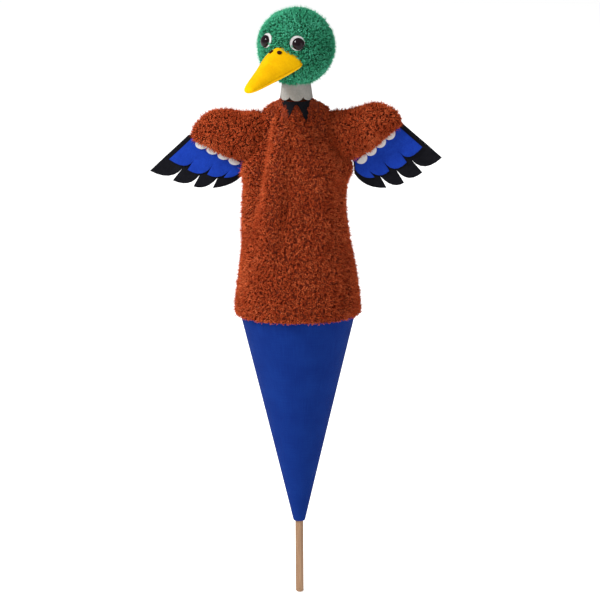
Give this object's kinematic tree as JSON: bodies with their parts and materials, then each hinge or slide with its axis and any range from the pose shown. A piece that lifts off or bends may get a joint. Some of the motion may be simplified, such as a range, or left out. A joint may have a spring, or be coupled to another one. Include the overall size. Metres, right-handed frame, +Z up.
{
  "type": "pop-up cone puppet",
  "caption": "Mallard drake stick puppet with felt wings, a plush glove body and a cloth-covered cone that it hides in when the stick is pulled.",
  "frame": {"origin": "centre of the flat lower end of the stick", "axes": "+Z up the stick towards the head, -Y the drake's front, +X its left side"},
  "size_m": [0.2871, 0.1553, 0.5955],
  "materials": {
    "beech": "smooth sanded, unvarnished",
    "card": "matt paperboard",
    "blue_cloth": "matt plain-weave cotton",
    "brown_plush": "curly pile, matt",
    "green_plush": "curly pile, matt",
    "wadding": "loose fibre",
    "black_felt": "matt felt",
    "blue_felt": "matt felt",
    "white_felt": "matt felt",
    "yellow_felt": "matt felt",
    "brown_felt": "matt felt",
    "thread": "twisted cotton",
    "eye_gloss": "polished"
  },
  "bodies": {
    "rod": {"rod": "beech", "neck_spool": "beech", "white_collar": "white_felt", "head_core": "beech", "head_cover": "green_plush", "bill_upper": "yellow_felt", "bill_lower": "yellow_felt", "bill_stuffing": "wadding", "right_eye": "eye_gloss", "left_eye": "eye_gloss", "right_eye_felt": "white_felt", "left_eye_felt": "white_felt", "right_nostril": "brown_felt", "left_nostril": "brown_felt"},
    "neck": {"neck_ruff": "black_felt", "neck_binding": "thread"},
    "cone": {"cone_shell": "card", "cone_cover": "blue_cloth", "tip_guide": "beech"},
    "torso": {"glove_body": "brown_plush", "glove_yoke": "brown_plush"},
    "left_wing": {"left_sleeve": "brown_plush", "left_arm_stuffing": "wadding", "left_wing_black": "black_felt", "left_wing_blue": "blue_felt", "left_wing_white": "white_felt"},
    "right_wing": {"right_sleeve": "brown_plush", "right_arm_stuffing": "wadding", "right_wing_black": "black_felt", "right_wing_blue": "blue_felt", "right_wing_white": "white_felt"}
  },
  "joints": [
    {"name": "head_turn", "type": "hinge", "parent": "rod", "child": "neck", "pos_m": [0, 0, 0.502], "axis": [0, 0, 1], "range_deg": [-60, 60]},
    {"name": "cone_slide", "type": "slide", "parent": "neck", "child": "cone", "axis": [0, 0, 1], "range_m": [0, 0.32], "deforming": ["glove_body", "glove_yoke", "bill_upper", "bill_lower", "bill_stuffing", "right_nostril", "left_nostril"]},
    {"name": "body_gather", "type": "slide", "parent": "neck", "child": "torso", "axis": [0, 0, 1], "range_m": [0, 0.208]},
    {"name": "left_wing_lift", "type": "hinge", "parent": "torso", "child": "left_wing", "pos_m": [0.0435, 0, 0.465], "axis": [0, -1, 0], "range_deg": [-15, 40], "stiffness_Nm_per_rad": 0.4},
    {"name": "right_wing_lift", "type": "hinge", "parent": "torso", "child": "right_wing", "pos_m": [-0.0435, 0, 0.465], "axis": [0, 1, 0], "range_deg": [-15, 40], "stiffness_Nm_per_rad": 0.4}
  ],
  "couplings": [
    {"joint": "body_gather", "follows": "cone_slide", "ratio": 0.65}
  ]
}
